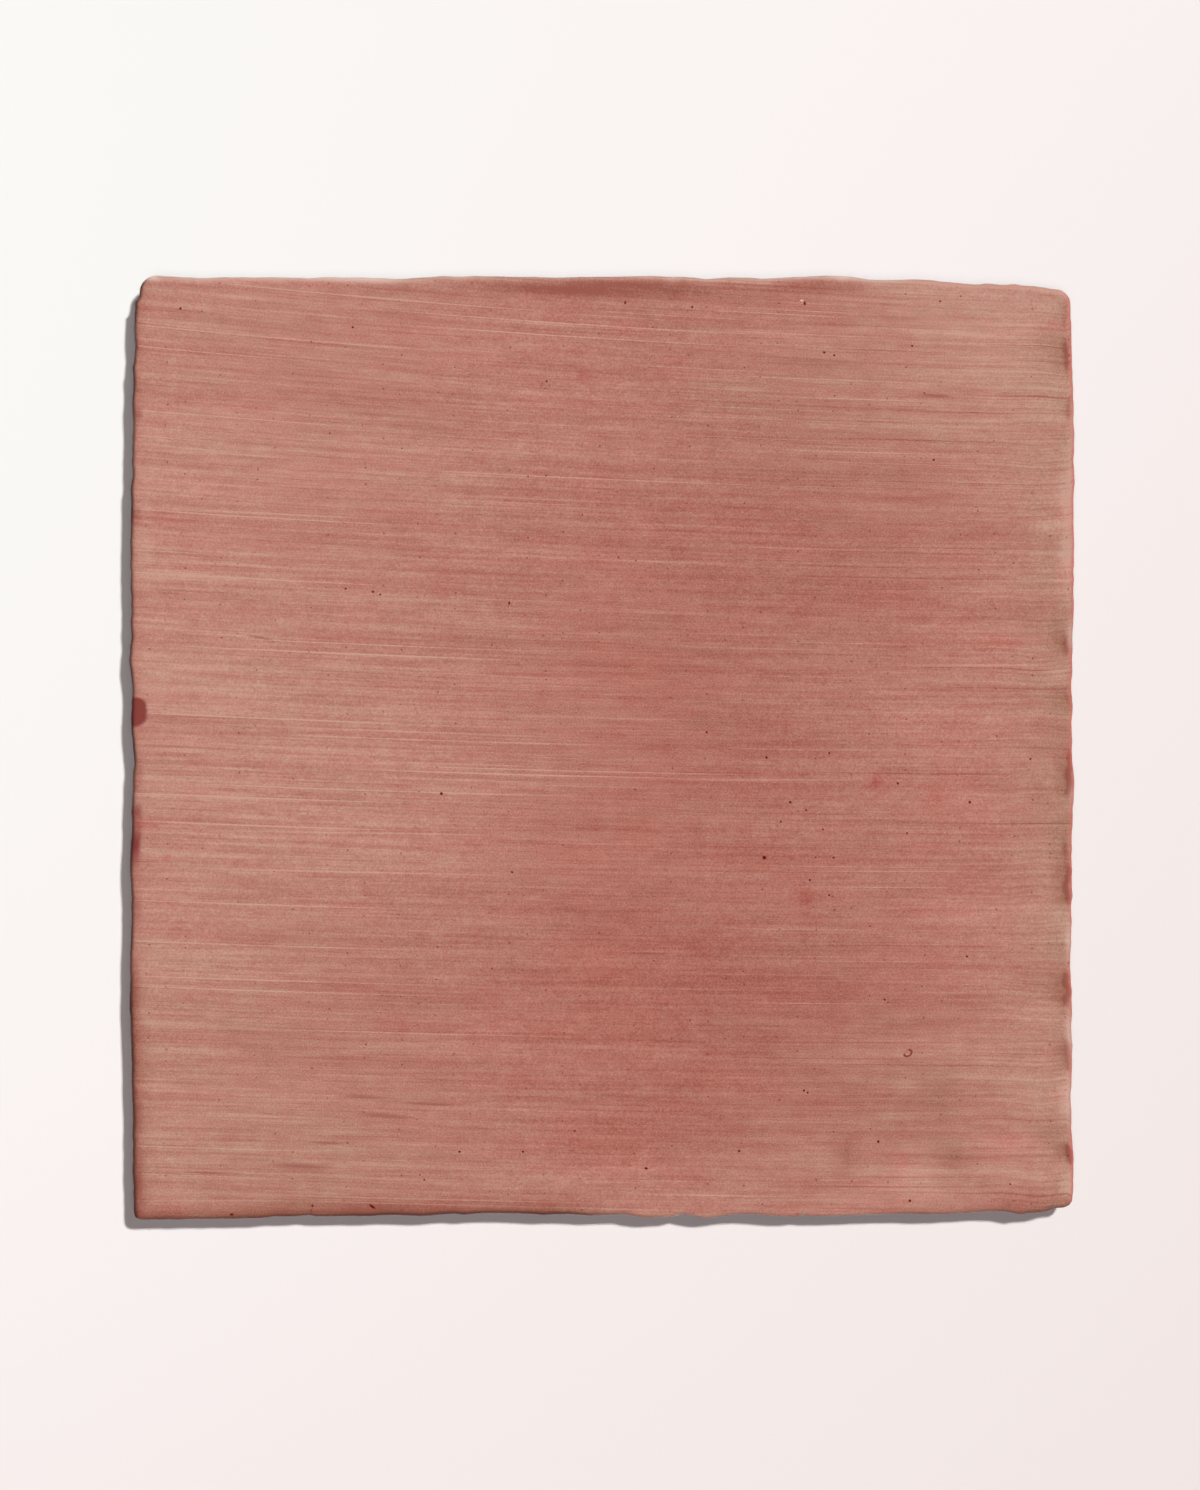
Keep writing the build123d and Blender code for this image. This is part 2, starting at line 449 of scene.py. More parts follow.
def paintLeft(y, left):
    # Dark at the very rim, painted shade on dark glaze, more so lower down, with red pools that reach further
    # in
    p = leftPaint
    lower = fade(-y, *p["lowerPart"])
    pool = np.clip(spots(y, p["poolsAndShade"]), 0, 1) * (1 - fade(left, *p["poolFade"]))
    (strength, reach), (uneven, length) = p["dark"], p["darkUneven"]
    dark = (strength + uneven * waverY(y, length, 31)) * hump(left, reach + p["darkLower"] * lower)
    middle, half = p["paleAt"]
    tone = band(left, *p["tone"]) + lower * band(left, *p["toneLower"])
    tone -= hump(y - middle, half) * band(left, *p["pale"])
    return tone, -lower * band(left, *p["oliveLower"]), pool, dark


# Painted shade along the near edge: a dark line and a soft fall of darker tone, deepest at the listed places,
# which also lean to olive
nearPaint = {
    "poolsAndShade": [
        (-61.0, 3.0, 0.35), (-50.0, 15.0, 0.7), (-24.0, 15.0, 1.0), (-6.0, 7.0, 0.7), (-32.0, 2.0, 0.3),
        (25.0, 14.0, -0.14), (44.0, 5.0, 0.35), (60.0, 8.0, 0.6),
    ],
    "dark": (0.15, 0, 0.5),
    "darkShadeLine": (0.6, 0, 0.5),
    "shadeFall": (0.62, 0, 2.2),
    "pale": (0.05, 0, 2.2),
    "olivePools": (0.95, 0, 1.7),
}


def paintNear(x, near):
    # Painted shade: a thin dark line, partly dark glaze, and a soft fall of darker tone that leans to olive
    # at the listed places
    p = nearPaint
    poolsAndShade = spots(x, p["poolsAndShade"])
    filled = np.clip(poolsAndShade, 0, 1)
    dark = band(near, *p["dark"]) + filled * band(near, *p["darkShadeLine"])
    tone = poolsAndShade * band(near, *p["shadeFall"]) - band(near, *p["pale"])
    return tone, -filled * band(near, *p["olivePools"]), dark


farPaint = {
    # Pale chips along the far edge; the first is a painted highlight at the far left corner
    "chipsAndHighlight": [
        (-61.9, 0.8, 1.0), (-31.5, 3.0, 0.6), (-36.5, 3.0, 0.4), (33.0, 1.3, 0.7), (10.0, 0.6, 0.5),
    ],
    "chipBand": (1.0, 0, 0.7),
    # The pale lip is worn glaze with a painted highlight along it
    "worn": (0.3, 0, 0.4),
    "wornLength": 5,  # of its unevenness along the edge
    "rightPart": (37, 46),  # here the worn lip gives way to a coral line
    "wornLost": 0.8,
    "coral": (0.35, 0, 0.35),
    "hollows": [(-1.0, 17.0, 0.5), (29.0, 6.0, 0.3)],
    # Painted shade in the hollows behind the lip
    "hollowShade": (1.0, 1.6, 1.2),
    "hollowOlive": (1.2, 1.7, 1.1),
    # A paler band just inside the lip: a painted highlight
    "pale": (0.3, 0.2, 0.5),
}


def paintFar(x, far):
    # A pale lip, worn and with a painted highlight where it faces the light, with chips, and painted shade in
    # the hollows below it, leaning to olive
    p = farPaint
    rightPart = fade(x, *p["rightPart"])
    worn = (1 + waverX(x, p["wornLength"], 32)) * (1 - p["wornLost"] * rightPart)
    pale = worn * band(far, *p["worn"]) + spots(x, p["chipsAndHighlight"]) * band(far, *p["chipBand"])
    hollow = spots(x, p["hollows"])
    tone = hollow * band(far, *p["hollowShade"]) - band(far, *p["pale"])
    return tone, -hollow * band(far, *p["hollowOlive"]), pale, rightPart * band(far, *p["coral"])


rightPaint = {
    # Scuffs: pale worn places on the rim, some of them painted highlights
    "scuffsAndHighlights": [
        (15.4, 1.8, 0.8), (-6.5, 1.5, 0.4), (-26.9, 2.5, 0.8), (-39.6, 3.0, 0.9), (44.0, 2.5, 0.3),
        (-48.5, 3.0, 0.6),
    ],
    # Thin places: thinner glaze, made paler by a painted highlight where the rim faces the light
    "thin": [
        (31.0, 11.0, 1.0), (-25.5, 3.0, 0.35), (-48.5, 3.0, 0.8), (-60.5, 3.0, 0.5), (63.5, 1.5, 0.3),
    ],
    "scuffPale": (0.5, 0.35, 0.5),
    "coral": (0.8, 0, 0.33),
    "coralScuffed": (0.5, 0, 0.33),  # what a scuff takes away of it
    "olive": (0.3, 1.2, 1.6),
    "patchy": (0.6, 0.6, 3.2),  # how patchy that is: its mean, its sway and the length of that
    "thinPatchy": (0.6, 0.4),  # the thin places: an even share, and a share that goes by those patches
    "thinRed": (0.6, 1.2, 1.6),
    # The paler tone of the thin places: a painted highlight
    "thinHighlight": (0.5, 0.9, 1.0),
    "dentDepth": 0.2,  # a dent of this depth has the bands below at their full strength
    "dentUneven": (0.3, 1.3),  # mm, and length along the edge
    # The dents are darker: painted shade over glaze pooled in them
    "dentBrownShade": (0.65, 0.7, 0.42),
    "dentShade": (0.2, 1.8, 1.0),
    "dentRed": (0.5, 0.35, 0.35),
    "dentOlive": (0.5, 1.4, 0.9),
}


def paintRight(y, right):
    # A coral line at the rim, pale in places from scuffs and painted highlights, olive inside it, and darker
    # where it is dented: painted shade over glaze pooled there
    p = rightPaint
    scuffsAndHighlights, thin = spots(y, p["scuffsAndHighlights"]), spots(y, p["thin"])
    pale = scuffsAndHighlights * band(right, *p["scuffPale"])
    coral = band(right, *p["coral"]) - np.clip(scuffsAndHighlights, 0, 1) * band(right, *p["coralScuffed"])
    (mean, sway, length), (even, uneven) = p["patchy"], p["thinPatchy"]
    patchy = mean + sway * waverY(y, length, 33)
    redder = thin * band(right, *p["thinRed"]) - patchy * band(right, *p["olive"])
    tone = -thin * (even + uneven * patchy) * band(right, *p["thinHighlight"])
    depth, length = p["dentUneven"]
    uneven = depth * waverY(y, length, 34)
    # Painted shade in each dent, over pooled glaze, with red at the rim and olive further in
    for place, half, depth in rightDents:
        dent = depth / p["dentDepth"] * hump((y - place + 2 * uneven) ** 2, half ** 2)  # flat-topped
        tone += dent * (band(right - uneven, *p["dentBrownShade"]) + band(right, *p["dentShade"]))
        redder += dent * (band(right, *p["dentRed"]) - band(right - uneven, *p["dentOlive"]))
    return tone, redder, pale, coral


def paintAt(x, y, inside, below):
    # Tone, lean to red, pools and rim paint at every point: the face's patches plus what each rim adds, with
    # the painted shade and highlights of the rims
    blotches = glazeTone["blotches"] + glazeTone["smudges"]
    tone = glazeTone["level"] + patched(x, y, glazeTone["patches"])
    tone += patched(x, y, [blotch[:5] for blotch in blotches])
    redder = glazeTone["lean"] + patched(x, y, glazeTone["redder"])
    redder += patched(x, y, [blotch[:4] + blotch[5:] for blotch in blotches])
    leftTone, leftRed, pool, leftDarkShade = paintLeft(y, inside["left"])
    nearTone, nearRed, nearDarkShade = paintNear(x, inside["near"])
    farTone, farRed, farPaleAndHighlight, farCoral = paintFar(x, inside["far"])
    rightTone, rightRed, rightPaleAndHighlight, rightCoral = paintRight(y, inside["right"])
    tone += leftTone + nearTone + farTone + rightTone
    redder += leftRed + nearRed + farRed + rightRed
    # The dark line is painted shade on dark glaze; the pale is worn glaze and chips with painted highlights
    coral, dark = np.maximum(rightCoral, farCoral), np.maximum(leftDarkShade, nearDarkShade)
    pale = np.maximum(farPaleAndHighlight, rightPaleAndHighlight)
    onRim = 1 - fade(below, 0, glazeTone["rimFade"])
    return tone, redder, pool * onRim, np.stack([coral, dark, pale], 1) * onRim[:, None]


def attribute(mesh, name, values):
    kind = "FLOAT" if values.ndim == 1 else "FLOAT_VECTOR"
    made = mesh.attributes.new(name, kind, "POINT")
    made.data.foreach_set("value" if values.ndim == 1 else "vector", values.astype(np.float32).ravel())


def makeTile():
    surface = tileSurface()
    mesh = bpy.data.meshes.new("tile_glazed")
    mesh.from_pydata((surface["points"] * mm).tolist(), [], surface["faces"])
    smooth = np.ones(len(mesh.polygons), bool)
    smooth[-1] = False  # the flat back
    mesh.polygons.foreach_set("use_smooth", smooth)
    material = np.zeros(len(mesh.polygons), np.int32)
    material[surface["bareFrom"]:] = 1
    mesh.polygons.foreach_set("material_index", material)

    x, y = surface["flatXY"].T
    tone, redder, pool, rim = paintAt(x, y, surface["inside"], surface["below"])
    attribute(mesh, "stroke", np.column_stack([x, y + strokeBend(x, y), 0 * x]))
    attribute(mesh, "tone", tone)
    attribute(mesh, "redder", redder)
    attribute(mesh, "pool", pool)
    attribute(mesh, "rim", rim)

    piece = bpy.data.objects.new("tile_glazed", mesh)
    bpy.context.scene.collection.objects.link(piece)
    mesh.materials.append(brushedGlaze())
    mesh.materials.append(bareClay())
    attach(piece, "root")
    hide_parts("tile")
    piece.visible_diffuse = False  # casts its shadow, but no pink glow, on the floor
    triangles = sum(len(p.vertices) - 2 for p in mesh.polygons)
    print("tile:", len(mesh.vertices), "points,", triangles, "triangles")


# Materials

def newMaterial(name):
    material = bpy.data.materials.new(name)
    material.use_nodes = True
    return material, material.node_tree, material.node_tree.nodes["Principled BSDF"]


def addNode(tree, kind, inputs=None, **settings):
    # A node with its settings, and its sockets set to numbers or linked to other nodes' outputs
    node = tree.nodes.new(kind)
    for name, value in settings.items():
        setattr(node, name, value)
    for name, value in (inputs or {}).items():
        if isinstance(value, bpy.types.NodeSocket):
            tree.links.new(value, node.inputs[name])
        else:
            node.inputs[name].default_value = value
    return node


def mathNode(tree, operation, first, second):
    return addNode(tree, "ShaderNodeMath", {0: first, 1: second}, operation=operation).outputs[0]


def product(tree, first, second):
    return mathNode(tree, "MULTIPLY", first, second)


def greater(tree, first, second):
    return mathNode(tree, "MAXIMUM", first, second)


def vectorNode(tree, operation, first, second=(0, 0, 0)):
    # Vector arithmetic that gives a single number
    node = addNode(tree, "ShaderNodeVectorMath", {0: first, 1: second}, operation=operation)
    return node.outputs["Value"]


def readAttribute(tree, name, output="Fac"):
    return addNode(tree, "ShaderNodeAttribute", attribute_name=name).outputs[output]


def rampNode(tree, share, stops):
    # The colour at a share of the way along the stops, each a position and a colour
    ramp = addNode(tree, "ShaderNodeValToRGB", {"Fac": share})
    elements = ramp.color_ramp.elements
    for position, colour in stops[1:-1]:
        elements.new(position)
    for element, (position, colour) in zip(elements, stops):
        element.position, element.color = position, colour
    return ramp.outputs["Color"]


glazeLook = {
    # Screen colours from the thinnest to the thickest pigment
    "ramp": [(0.0, (205, 158, 141)), (0.25, (195, 142, 126)), (0.5, (184, 125, 110)),
             (0.75, (173, 109, 95)), (1.0, (160, 90, 78))],
    "olive": (0.9, 1.03, 0.95),  # what the colour is multiplied by where it leans that way
    "red": (1.09, 0.93, 0.94),
    "coral": (216, 110, 95),
    # The dark line at the left and near rims: painted shade on dark glaze
    "dark": (50, 12, 10),
    # Pale glaze of hairlines, chips and scuffs, also used for the painted highlights
    "pale": (232, 196, 184),
    "speck": (104, 4, 2),
    "deepRed": (137, 62, 57),
    # Brush marks: length and width in mm, how much they sway the tone
    "streaks": [(80, 6.0, 0.22), (40, 2.6, 0.19)],
    "fineStreaks": [(44, 1.2, 0.24), (26, 0.52, 0.42), (10, 0.24, 0.37)],
    # Hairs of the brush: half length and half width, spacing of the strokes, how much they sway the tone
    "hairs": [(30, 0.13, 1.4, -0.45), (14, 0.1, 1.0, -0.36), (18, 0.12, 1.2, 0.42)],
    "hairChance": (0.2, 1.0),  # how clear each one is: from none to all by its random number
    # Fine streaks and hairs are clearest where the glaze is thin: from one tone to another, and how clear
    "thinGlaze": (0.3, 0.7, 1.25, 0.75),
    "mottle": (9, 4.5, 0.6),  # cloudiness of the glaze: length, width, sway
    "smallMottle": (2.4, 1.7, 0.18),
    "blush": (22, 6, 2.4),  # the same for its lean to red
    "grain": 0.23,  # mm
    "grainSway": 0.86,
    "grainBlush": 0.8,
    "grainDepth": 0.05,  # mm, in the sheen
    "grainBump": 0.25,
    # Random specks: spacing in mm, start and end of their edge in spacings, which of them show and how much
    "speckSpacing": 2.5,
    "speckEdge": (0.07, 0.025),
    "speckChance": (0.62, 1.0, 0.0, 0.75),
    "runDown": 3.0,  # mm that a mark at the rim runs down the sides
    "roughness": 0.5,
}

# Marks in the glaze, and a painted highlight, in mm: how soft their edges are, their strength and their
# places. A speck is its middle and radius, the others middle, half length, half width and turn in degrees. A
# ring is open at its gap
glazeMarks = {
    "specks": {"softness": 0.4, "strength": 1.0, "places": [
        (22.5, -15.4, 0.26), (-22.3, -6.5, 0.2), (51.0, -7.7, 0.17), (26.1, -7.7, 0.17),
        (-34.6, 58.2, 0.15), (-35.6, 21.9, 0.14), (-31.8, 21.5, 0.15), (-30.8, 21.1, 0.13),
        (-40.2, -63.7, 0.16), (41.0, -5.1, 0.15), (38.3, -54.8, 0.18), (42.7, -63.0, 0.18),
        (-58.5, 60.8, 0.16), (30.8, 54.7, 0.16), (24.8, -10.4, 0.14), (-12.5, -17.4, 0.15),
        (39.2, -35.1, 0.15), (50.6, -29.1, 0.15), (46.0, 39.8, 0.15), (59.4, -1.7, 0.15),
        (28.3, -8.8, 0.13), (32.1, -15.4, 0.14), (32.2, 54.3, 0.14), (12.5, 61.0, 0.15),
        (-7.7, 50.7, 0.14), (46.9, 61.8, 0.14), (43.0, 55.6, 0.14), (22.8, -1.5, 0.16),
        (31.5, -0.9, 0.14), (14.5, 2.0, 0.15), (30.6, -11.5, 0.13), (42.3, -12.0, 0.13),
        (28.8, -18.5, 0.15), (31.5, -20.6, 0.14), (28.0, -47.7, 0.15), (28.5, -48.0, 0.13),
        (19.0, -56.1, 0.16), (-19.8, -56.2, 0.16), (-11.0, -56.2, 0.15), (-24.7, -60.1, 0.13),
        (-3.8, -53.3, 0.13), (56.6, -60.7, 0.13),
    ]},
    "flecks": {"softness": 0.4, "strength": 1.0, "places": [
        (-12.9, 19.9, 0.13, 0.24, -15), (-31.9, -63.8, 0.5, 0.17, -35), (-51.4, -64.9, 0.26, 0.17, 0),
        (6.1, -58.5, 0.24, 0.16, 0), (28.1, 61.5, 0.16, 0.26, 0), (3.2, 61.6, 0.13, 0.2, 0),
    ]},
    "drops": {"softness": 0.2, "strength": 0.97, "places": [
        (-64.7, 5.6, 1.5, 1.25, 0), (-64.9, 4.9, 1.8, 1.3, 0), (-65.1, 4.2, 1.95, 1.45, 0),
    ]},
    "dashes": {"softness": 0.8, "strength": 0.52, "places": [
        (-47.7, 15.2, 1.4, 0.16, -8), (-30.0, -51.2, 2.8, 0.3, -3), (46.3, 48.7, 1.6, 0.2, -3),
        (-41.8, -58.2, 3.2, 0.4, -3), (-54.4, -59.1, 2.8, 0.14, -2), (-33.4, -48.6, 2.6, 0.24, -2),
        (6.8, -28.7, 2.0, 0.16, -1), (-38.0, -55.0, 2.4, 0.16, -2), (-24.0, -49.6, 3.0, 0.2, -2),
    ]},
    "hairlines": {"softness": 0.8, "strength": 0.24, "places": [
        (-54.8, -63.0, 8.2, 0.1, 0), (-32.0, -12.0, 19.0, 0.1, -0.8), (-34.0, -17.4, 20.0, 0.13, -1.2),
        (-30.0, 2.2, 22.0, 0.1, -2.2), (-8.1, 34.3, 13.7, 0.1, -2.7), (24.0, -4.6, 10.0, 0.12, 0),
        (40.0, -17.3, 9.0, 0.1, 0), (54.0, 11.3, 7.0, 0.13, 0), (-47.0, 32.4, 12.0, 0.12, -3),
    ]},
    # A painted highlight on the rim of a pit by the far edge
    "highlights": {"softness": 0.5, "strength": 1.0, "places": [
        (27.7, 61.9, 0.2, 0.12, 0),
    ]},
    "rings": {"line": (0.45, 0.1), "gapAt": (-0.4, 0.9, 0), "gap": (0.9, 0.5), "places": [
        (42.4, -42.5, 0.56, 0.42, 30),
    ]},
}


def spread(tree, value, fromLow, fromHigh, toLow=0.0, toHigh=1.0, smooth=True):
    # Maps a number from one range to another, clamped at both ends
    return addNode(tree, "ShaderNodeMapRange", {
        "Value": value, "From Min": fromLow, "From Max": fromHigh, "To Min": toLow, "To Max": toHigh},
        interpolation_type="SMOOTHSTEP" if smooth else "LINEAR").outputs["Result"]


def stretched(tree, place, length, width, shift):
    # Coordinates in steps of length and width, moved to a part of the noise of their own by shift
    return addNode(tree, "ShaderNodeMapping", {
        "Vector": place, "Location": (3.7 * shift, 11.3 * shift, 0),
        "Scale": (1 / length, 1 / width, 1)}).outputs[0]


def noiseAt(tree, place, detail=1.0, roughness=0.5):
    return addNode(tree, "ShaderNodeTexNoise", {
        "Vector": place, "Scale": 1.0, "Detail": detail, "Roughness": roughness},
        noise_dimensions="2D").outputs["Fac"]


def cellsAt(tree, place):
    # Scattered points: how far the nearest one is, and a random number of its own
    cells = addNode(tree, "ShaderNodeTexVoronoi", {
        "Vector": place, "Scale": 1.0}, voronoi_dimensions="2D").outputs
    chance = addNode(tree, "ShaderNodeSeparateXYZ", {"Vector": cells["Color"]}).outputs["X"]
    return cells["Distance"], chance


def swayed(tree, total, noise, sway):
    # Adds noise, which stays around a half, to the total
    return mathNode(tree, "ADD", total, product(tree, mathNode(tree, "SUBTRACT", noise, 0.5), sway))


def fromMark(tree, body, mark):
    # The place seen from the middle of a mark, in its own half lengths
    x, y, halfLength, halfWidth, turn = mark
    size = (halfLength * mm, halfWidth * mm, glazeLook["runDown"] * mm)
    return addNode(tree, "ShaderNodeMapping", {
        "Vector": body, "Location": (x * mm, y * mm, tileShape["thickness"] * mm),
        "Rotation": (0, 0, math.radians(turn)), "Scale": size},
        vector_type="TEXTURE").outputs[0]


def marked(tree, body, name):
    # The strength of the marks inside any of them, 0 outside
    marks = glazeMarks[name]
    softness, total = marks["softness"], 0.0
    for mark in marks["places"]:
        away = vectorNode(tree, "LENGTH", fromMark(tree, body, mark))
        total = greater(tree, total, spread(tree, away, 1 + softness, 1 - softness))
    return product(tree, total, marks["strength"])


def dotted(tree, body, name):
    # The same for round marks, by the distance from the middle of each as seen from above
    marks = glazeMarks[name]
    softness, total = marks["softness"], 0.0
    seen = addNode(tree, "ShaderNodeVectorMath", {
        0: body, 1: (1, 1, 0)}, operation="MULTIPLY").outputs["Vector"]
    for x, y, radius in marks["places"]:
        away = vectorNode(tree, "DISTANCE", seen, (x * mm, y * mm, 0))
        inner, outer = radius * (1 - softness) * mm, radius * (1 + softness) * mm
        total = greater(tree, total, spread(tree, away, outer, inner))
    return product(tree, total, marks["strength"])


def ringed(tree, body, name):
    # 1 on the line of any of the rings, 0 off it and at their gaps
    marks, total = glazeMarks[name], 0.0
    for mark in marks["places"]:
        place = fromMark(tree, body, mark)
        inside = mathNode(tree, "SUBTRACT", vectorNode(tree, "LENGTH", place), 1.0)
        offLine = addNode(tree, "ShaderNodeMath", {0: inside}, operation="ABSOLUTE").outputs[0]
        toGap = vectorNode(tree, "DOT_PRODUCT", place, marks["gapAt"])
        line = product(tree, spread(tree, offLine, *marks["line"]), spread(tree, toGap, *marks["gap"]))
        total = greater(tree, total, line)
    return total


def mixed(tree, share, first, second):
    # The first colour, and a share of the second, a screen colour, over it
    return addNode(tree, "ShaderNodeMix", {
        "Factor": share, "A": first, "B": fromSrgb(*second)}, data_type="RGBA").outputs["Result"]


def brushedTone(tree, stroke, tone):
    # Tone with the broad streaks, the fine streaks, the hairs of the brush and the mottle added
    look = glazeLook
    for number, (length, width, sway) in enumerate(look["streaks"]):
        tone = swayed(tree, tone, noiseAt(tree, stretched(tree, stroke, length, width, number)), sway)
    thin = spread(tree, tone, *look["thinGlaze"], smooth=False)
    for number, (length, width, sway) in enumerate(look["fineStreaks"], 10):
        streak = noiseAt(tree, stretched(tree, stroke, length, width, number))
        tone = swayed(tree, tone, streak, product(tree, thin, sway))

    # Hairs: scattered points drawn out into long thin strokes
    for number, (halfLength, halfWidth, spacing, sway) in enumerate(look["hairs"], 20):
        share = halfWidth / spacing
        away, chance = cellsAt(tree, stretched(tree, stroke, halfLength / share, spacing, number))
        clear = product(tree, spread(tree, chance, *look["hairChance"], smooth=False), thin)
        hair = product(tree, spread(tree, away, share, share / 2), clear)
        tone = mathNode(tree, "ADD", tone, product(tree, hair, sway))

    # Mottle: the large one is as strong at every size
    length, width, sway = look["mottle"]
    tone = swayed(tree, tone, noiseAt(tree, stretched(tree, stroke, length, width, 41), 5.0, 1.0), sway)
    length, width, sway = look["smallMottle"]
    return swayed(tree, tone, noiseAt(tree, stretched(tree, stroke, length, width, 43)), sway)


def leaningColour(tree, stroke, tone, redder):
    # Colour by tone, multiplied by its lean to red or olive
    look = glazeLook
    pigment = rampNode(tree, tone, [(position, fromSrgb(*colour)) for position, colour in look["ramp"]])
    length, width, sway = look["blush"]
    blush = noiseAt(tree, stretched(tree, stroke, length, width, 42), 5.0, 0.95)
    redder = swayed(tree, redder, blush, sway)
    stops = [(0.0, (*look["olive"], 1)), (0.5, (1, 1, 1, 1)), (1.0, (*look["red"], 1))]
    lean = rampNode(tree, spread(tree, redder, -1.0, 1.0, smooth=False), stops)
    return addNode(tree, "ShaderNodeMix", {
        "Factor": 1.0, "A": pigment, "B": lean}, data_type="RGBA", blend_type="MULTIPLY").outputs["Result"]


def markedColour(tree, body, colour, pool, rim):
    # Pools, drops, rings and dashes of deep red, pale hairlines, the paint of the rim with its painted shade
    # and highlights, then the specks, then a painted highlight at a pit
    look = glazeLook
    red = greater(tree, greater(tree, pool, marked(tree, body, "drops")), ringed(tree, body, "rings"))
    colour = mixed(tree, greater(tree, red, marked(tree, body, "dashes")), colour, look["deepRed"])
    colour = mixed(tree, marked(tree, body, "hairlines"), colour, look["pale"])
    # The rim paint: coral glaze, a dark line of painted shade on dark glaze, and pale glaze with painted
    # highlights
    for axis, name in (("X", "coral"), ("Y", "dark"), ("Z", "pale")):
        colour = mixed(tree, rim[axis], colour, look[name])

    # Random specks, one to a cell and few of them dark, with the specks and flecks listed
    spacing = look["speckSpacing"] * mm
    away, chance = cellsAt(tree, stretched(tree, body, spacing, spacing, 3))
    showing = spread(tree, chance, *look["speckChance"], smooth=False)
    speck = product(tree, spread(tree, away, *look["speckEdge"]), showing)
    speck = greater(tree, speck, dotted(tree, body, "specks"))
    speck = greater(tree, speck, marked(tree, body, "flecks"))
    colour = mixed(tree, speck, colour, look["speck"])
    # Last a painted highlight at the pit by the far edge
    return mixed(tree, marked(tree, body, "highlights"), colour, look["pale"])


def brushedGlaze():
    look = glazeLook
    material, tree, shader = newMaterial("brushed_glaze")
    body = addNode(tree, "ShaderNodeTexCoord").outputs["Object"]
    stroke = readAttribute(tree, "stroke", "Vector")
    tone, redder, pool = (readAttribute(tree, name) for name in ("tone", "redder", "pool"))
    rim = addNode(tree, "ShaderNodeSeparateXYZ", {"Vector": readAttribute(tree, "rim", "Vector")}).outputs

    # Brush marks, then a fine grain in tone and in lean
    tone = brushedTone(tree, stroke, tone)
    grain = addNode(tree, "ShaderNodeTexNoise", {
        "Vector": body, "Scale": 1 / (look["grain"] * mm), "Detail": 1.0}).outputs
    tint = addNode(tree, "ShaderNodeSeparateXYZ", {"Vector": grain["Color"]}).outputs["Y"]
    tone = swayed(tree, tone, grain["Fac"], look["grainSway"])
    redder = swayed(tree, redder, tint, look["grainBlush"])

    colour = leaningColour(tree, stroke, tone, redder)
    colour = markedColour(tree, body, colour, pool, rim)
    tree.links.new(colour, shader.inputs["Base Color"])

    # Satin sheen over the grain
    bump = addNode(tree, "ShaderNodeBump", {
        "Height": grain["Fac"], "Strength": look["grainBump"], "Distance": look["grainDepth"] * mm})
    tree.links.new(bump.outputs["Normal"], shader.inputs["Normal"])
    shader.inputs["Roughness"].default_value = look["roughness"]
    return material


clayLook = {"pale": (214, 178, 150), "dark": (186, 142, 112), "grain": 0.5, "roughness": 0.9}


def bareClay():
    look = clayLook
    material, tree, shader = newMaterial("bare_clay")
    body = addNode(tree, "ShaderNodeTexCoord").outputs["Object"]
    grain = addNode(tree, "ShaderNodeTexNoise", {
        "Vector": body, "Scale": 1 / (look["grain"] * mm), "Detail": 4.0}).outputs["Fac"]
    colour = rampNode(tree, grain, [(0.0, fromSrgb(*look["dark"])), (1.0, fromSrgb(*look["pale"]))])
    tree.links.new(colour, shader.inputs["Base Color"])
    shader.inputs["Roughness"].default_value = look["roughness"]
    return material


# Floor, light and camera

floorLook = {
    "half": 3.0,  # m
    "upperLeft": (249, 248, 244),
    "between": (249, 241, 239),
    "lowerRight": (240, 229, 226),
    "width": 167.0,  # mm over which the colour changes, each way
    "height": 207.0,
    "leftEnd": 0.57,  # how far along the colours the lower left corner is, and the upper right one
    "rightStart": 0.46,
    "betweenAt": 0.4,
    "roughness": 0.9,
}


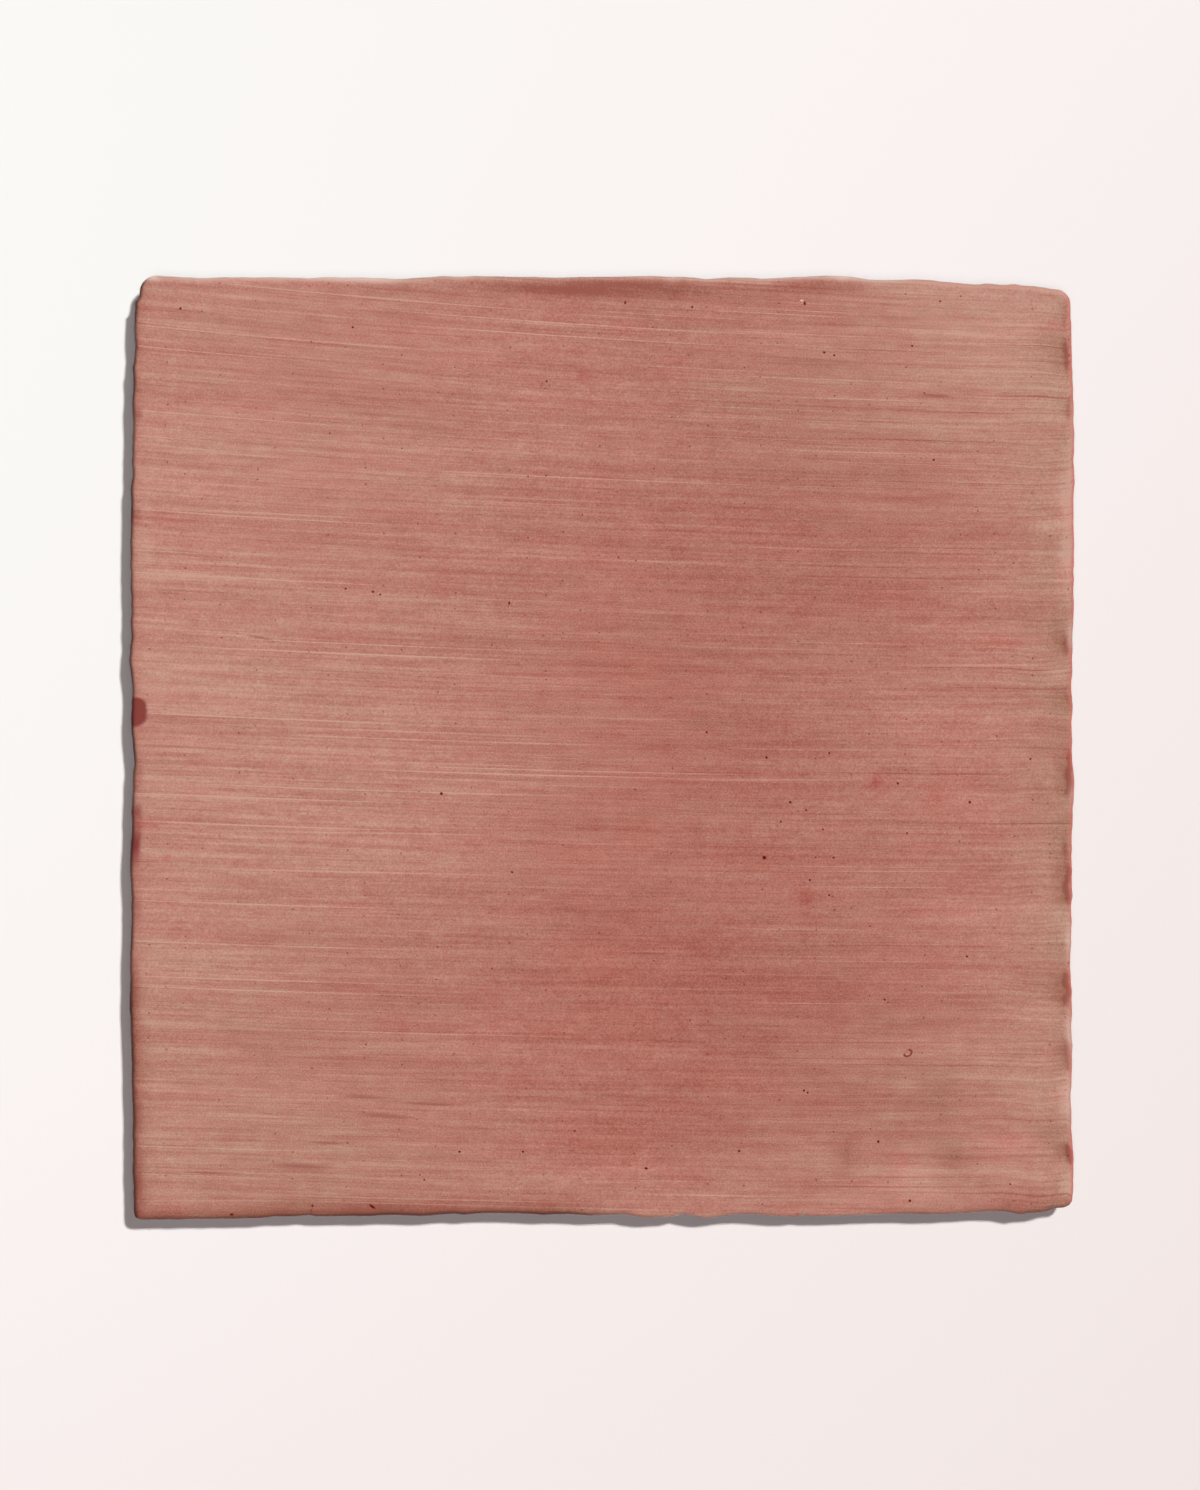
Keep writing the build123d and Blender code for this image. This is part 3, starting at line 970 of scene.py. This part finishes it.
def makeFloor():
    look = floorLook
    corners = np.array([[-1, -1, 0], [1, -1, 0], [1, 1, 0], [-1, 1, 0]]) * look["half"]
    mesh = bpy.data.meshes.new("floor")
    mesh.from_pydata(corners.tolist(), [], [(0, 1, 2, 3)])
    floor = bpy.data.objects.new("floor", mesh)
    bpy.context.scene.collection.objects.link(floor)
    material, tree, shader = newMaterial("pale_floor")
    body = addNode(tree, "ShaderNodeTexCoord").outputs["Object"]
    axes = addNode(tree, "ShaderNodeSeparateXYZ", {"Vector": body}).outputs
    halfX, halfY = look["width"] / 2 * mm, look["height"] / 2 * mm
    across = spread(tree, axes["X"], -halfX, halfX, smooth=False)
    down = spread(tree, axes["Y"], halfY, -halfY, smooth=False)
    # Down the left side the change goes by the square of the way down, down the right side evenly
    leftSide = product(tree, product(tree, down, down), look["leftEnd"])
    rightSide = spread(tree, down, 0.0, 1.0, look["rightStart"], 1.0, smooth=False)
    share = addNode(tree, "ShaderNodeMix", {
        "Factor": across, "A": leftSide, "B": rightSide}).outputs["Result"]
    stops = [(0.0, "upperLeft"), (look["betweenAt"], "between"), (1.0, "lowerRight")]
    colour = rampNode(tree, share, [(position, fromSrgb(*look[name])) for position, name in stops])
    tree.links.new(colour, shader.inputs["Base Color"])
    shader.inputs["Roughness"].default_value = look["roughness"]
    shader.inputs["Specular IOR Level"].default_value = 0.0
    mesh.materials.append(material)
    floor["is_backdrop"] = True


lightLook = {
    "key": 0.775,  # shares of a plain level of light on the face
    "sky": 0.203,
    "skyAngle": 14.0,  # degrees across
    "skyTilt": 3.5,  # degrees towards the near side
    "world": 0.035,
    "soft": 0.05,
    "softboxSize": (1.4, 0.9),  # m
    "softboxAt": (1.2, 1.3, 1.05),
    "shadowX": -1.98,  # mm, where the shadow of the face falls
    "shadowY": -1.95,
    "keyAngle": 2.6,  # degrees across, for the edge of the shadow
    "background": 0.93,
    "keyColour": (0.98, 1.01, 1.01),  # a touch cool, against a warm fill in the shadow
    "fillColour": (1.06, 0.96, 0.98),
}


def addSun(name, level, angle, colour, turn):
    # A far lamp that lights a level surface facing it to the given level
    lamp = bpy.data.lights.new(name, "SUN")
    lamp.energy, lamp.angle, lamp.color = level * math.pi, math.radians(angle), colour
    sun = bpy.data.objects.new(name, lamp)
    sun.rotation_euler = turn
    sun.visible_glossy = False  # the satin sheen comes from the softbox alone
    bpy.context.scene.collection.objects.link(sun)


def addSoftbox():
    # Aimed at the tile, with the power that its distance and slant ask for
    look = lightLook
    box = bpy.data.lights.new("softbox", "AREA")
    box.shape, (box.size, box.size_y) = "RECTANGLE", look["softboxSize"]
    softbox = bpy.data.objects.new("softbox", box)
    softbox.location = look["softboxAt"]
    softbox.visible_diffuse = False  # sheen alone, so that it throws no long shadow
    away = -np.array(softbox.location)
    distance = np.linalg.norm(away)
    facing = -away[2] / distance
    softbox.rotation_euler = (math.acos(facing), 0, math.atan2(-away[0], away[1]))
    box.energy = look["soft"] * math.pi ** 2 * distance ** 2 / facing
    bpy.context.scene.collection.objects.link(softbox)


def makeLights():
    look = lightLook
    toward = np.array([-look["shadowX"], -look["shadowY"], tileShape["thickness"]])
    toward /= np.linalg.norm(toward)
    keyTurn = (-math.atan2(toward[1], toward[2]), math.asin(toward[0]), 0)
    addSun("key", look["key"] / toward[2], look["keyAngle"], look["keyColour"], keyTurn)
    addSun("sky", look["sky"], look["skyAngle"], look["fillColour"], (math.radians(look["skyTilt"]), 0, 0))
    addSoftbox()

    world = bpy.data.worlds.new("studio")
    world.use_nodes = True
    bpy.context.scene.world = world
    tree = world.node_tree
    seen = addNode(tree, "ShaderNodeLightPath").outputs["Is Camera Ray"]
    strength = addNode(tree, "ShaderNodeMapRange", {
        "Value": seen, "To Min": look["world"], "To Max": look["background"]}).outputs["Result"]
    tree.links.new(strength, tree.nodes["Background"].inputs["Strength"])
    tree.nodes["Background"].inputs["Color"].default_value = (*look["fillColour"], 1)


cameraLook = {
    "height": 1.2,  # m above the floor
    "sensor": 36.0,  # mm
    "frameHeight": 206.7,  # mm of the face that the picture takes in, top to bottom
    "offX": -0.3,  # mm from the middle of the tile
    "offY": 0.23,
}


def makeCamera():
    look = cameraLook
    lens = bpy.data.cameras.new("camera")
    lens.sensor_width = look["sensor"]
    lens.lens = look["sensor"] * (look["height"] / mm - tileShape["thickness"]) / look["frameHeight"]
    camera = bpy.data.objects.new("camera", lens)
    camera.location = (look["offX"] * mm, look["offY"] * mm, look["height"])
    bpy.context.scene.collection.objects.link(camera)
    bpy.context.scene.camera = camera


makeTile()
makeFloor()
makeLights()
makeCamera()
bpy.context.scene.view_settings.view_transform = "Standard"
print("floor, lights and camera are in place")

({name: [list(corner) for corner in box] for name, box in
           (("cad", cadBox), ("visual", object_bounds()))})
